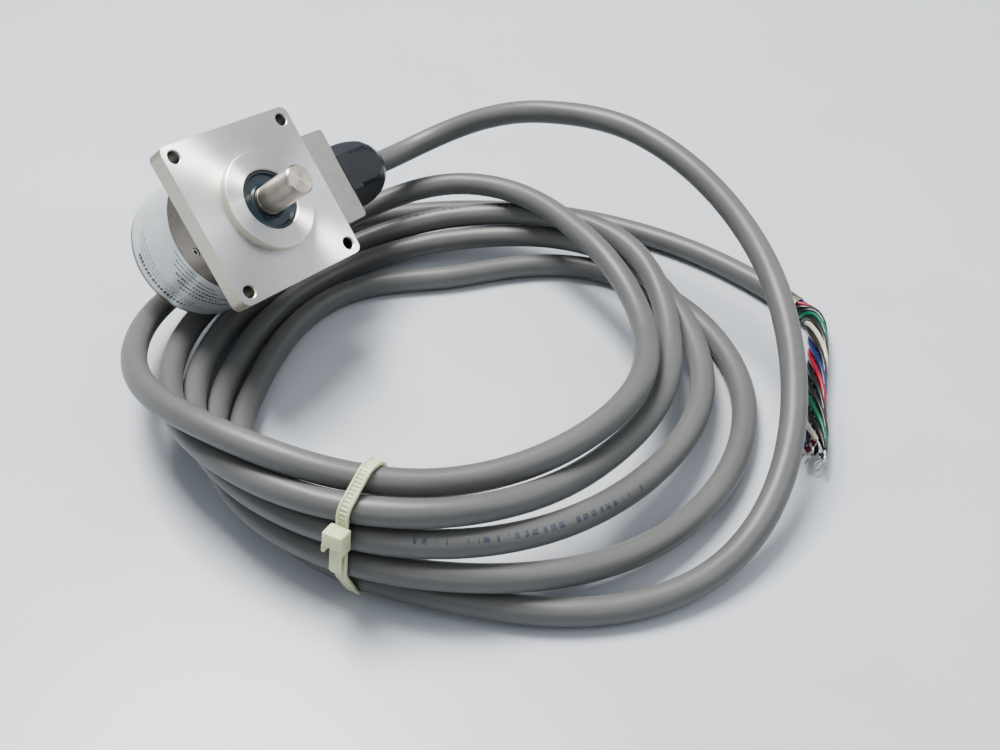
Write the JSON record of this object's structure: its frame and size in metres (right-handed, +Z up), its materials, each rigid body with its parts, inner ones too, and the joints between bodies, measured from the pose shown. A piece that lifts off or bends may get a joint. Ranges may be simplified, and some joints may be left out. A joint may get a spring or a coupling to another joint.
{
  "type": "rotary shaft encoder",
  "caption": "Square-flange rotary shaft encoder with a round pilot, a stub shaft and a side cable outlet, tilted against its coiled and tied lead.",
  "frame": {"origin": "centre of the whole part's footprint at bench level, under the coil", "axes": "+Z up from the bench; +X to the right and +Y away as seen by someone facing the flange and shaft; the shaft points up, right and towards that person"},
  "size_m": [0.2328, 0.2016, 0.0834],
  "materials": {
    "flange_housing": "turned face, milled satin sides",
    "shaft": "ground",
    "shaft_seal": "matt",
    "front_outer_race": "ground",
    "front_inner_race": "ground",
    "front_balls": "polished",
    "front_cage": "turned",
    "front_shield": "pressed",
    "rear_outer_race": "ground",
    "rear_inner_race": "ground",
    "rear_balls": "polished",
    "rear_cage": "turned",
    "rear_shield": "pressed",
    "race_spacer": "ground",
    "inner_spacer": "ground",
    "preload_spring": "oiled",
    "housing_circlip": "oiled",
    "shaft_clip": "oiled",
    "disc_hub": "turned",
    "hub_screws": "oiled",
    "code_disc": "polished, etched track",
    "disc_nut": "turned",
    "emitter_holder": "moulded",
    "emitter": "clear moulded",
    "emitter_leads": "tinned",
    "light_sensor": "moulded",
    "reticle_holder": "moulded",
    "reticle": "polished, etched track",
    "circuit_board": "solder mask",
    "board_parts": "moulded",
    "board_posts": "turned",
    "board_screws": "oiled",
    "board_connector": "moulded",
    "inner_leads": "extruded",
    "rear_cover": "dull plated can",
    "cover_screws": "oiled",
    "data_label": "silver-white film, blank",
    "cable_block": "satin anodised",
    "block_gasket": "matt",
    "block_screws": "oiled",
    "gland_body": "moulded nylon",
    "gland_grommet": "matt",
    "gland_nut": "moulded nylon",
    "cable_jacket": "satin extruded vinyl",
    "shield_end": "tinned",
    "core_red": "extruded",
    "core_white": "extruded",
    "core_green": "extruded",
    "core_blue": "extruded",
    "cores_black": "extruded",
    "core_tips": "tinned",
    "cable_tie": "translucent natural nylon"
  },
  "bodies": {
    "housing": {"flange_housing": "flange_housing", "shaft_seal": "shaft_seal", "front_outer_race": "front_outer_race", "front_shield": "front_shield", "rear_outer_race": "rear_outer_race", "rear_shield": "rear_shield", "race_spacer": "race_spacer", "preload_spring": "preload_spring", "housing_circlip": "housing_circlip", "emitter_holder": "emitter_holder", "emitter": "emitter", "emitter_leads": "emitter_leads", "light_sensor": "light_sensor", "reticle_holder": "reticle_holder", "reticle": "reticle", "circuit_board": "circuit_board", "board_parts": "board_parts", "board_posts": "board_posts", "board_screws": "board_screws", "board_connector": "board_connector", "inner_leads": "inner_leads", "rear_cover": "rear_cover", "cover_screws": "cover_screws", "data_label": "data_label", "cable_block": "cable_block", "block_gasket": "block_gasket", "block_screws": "block_screws", "gland_body": "gland_body", "gland_grommet": "gland_grommet", "gland_nut": "gland_nut", "cable_jacket": "cable_jacket", "shield_end": "shield_end", "core_red": "core_red", "core_white": "core_white", "core_green": "core_green", "core_blue": "core_blue", "cores_black": "cores_black", "core_tips": "core_tips", "cable_tie": "cable_tie"},
    "rotor": {"shaft": "shaft", "front_inner_race": "front_inner_race", "rear_inner_race": "rear_inner_race", "inner_spacer": "inner_spacer", "shaft_clip": "shaft_clip", "disc_hub": "disc_hub", "hub_screws": "hub_screws", "code_disc": "code_disc", "disc_nut": "disc_nut"},
    "front_cage_set": {"front_cage": "front_cage", "front_balls": "front_balls"},
    "rear_cage_set": {"rear_cage": "rear_cage", "rear_balls": "rear_balls"}
  },
  "joints": [
    {"name": "shaft_spin", "type": "hinge", "parent": "housing", "child": "rotor", "pos_m": [-0.0683, 0.0161, 0.0601], "axis": [0.6799, -0.3405, 0.6494], "continuous": true},
    {"name": "front_cage_spin", "type": "hinge", "parent": "housing", "child": "front_cage_set", "pos_m": [-0.07184, 0.01787, 0.05672], "axis": [0.6799, -0.3405, 0.6494], "continuous": true},
    {"name": "rear_cage_spin", "type": "hinge", "parent": "housing", "child": "rear_cage_set", "pos_m": [-0.08112, 0.02252, 0.04786], "axis": [0.6799, -0.3405, 0.6494], "continuous": true}
  ],
  "couplings": [
    {"joint": "front_cage_spin", "follows": "shaft_spin", "ratio": 0.375},
    {"joint": "rear_cage_spin", "follows": "shaft_spin", "ratio": 0.375}
  ]
}
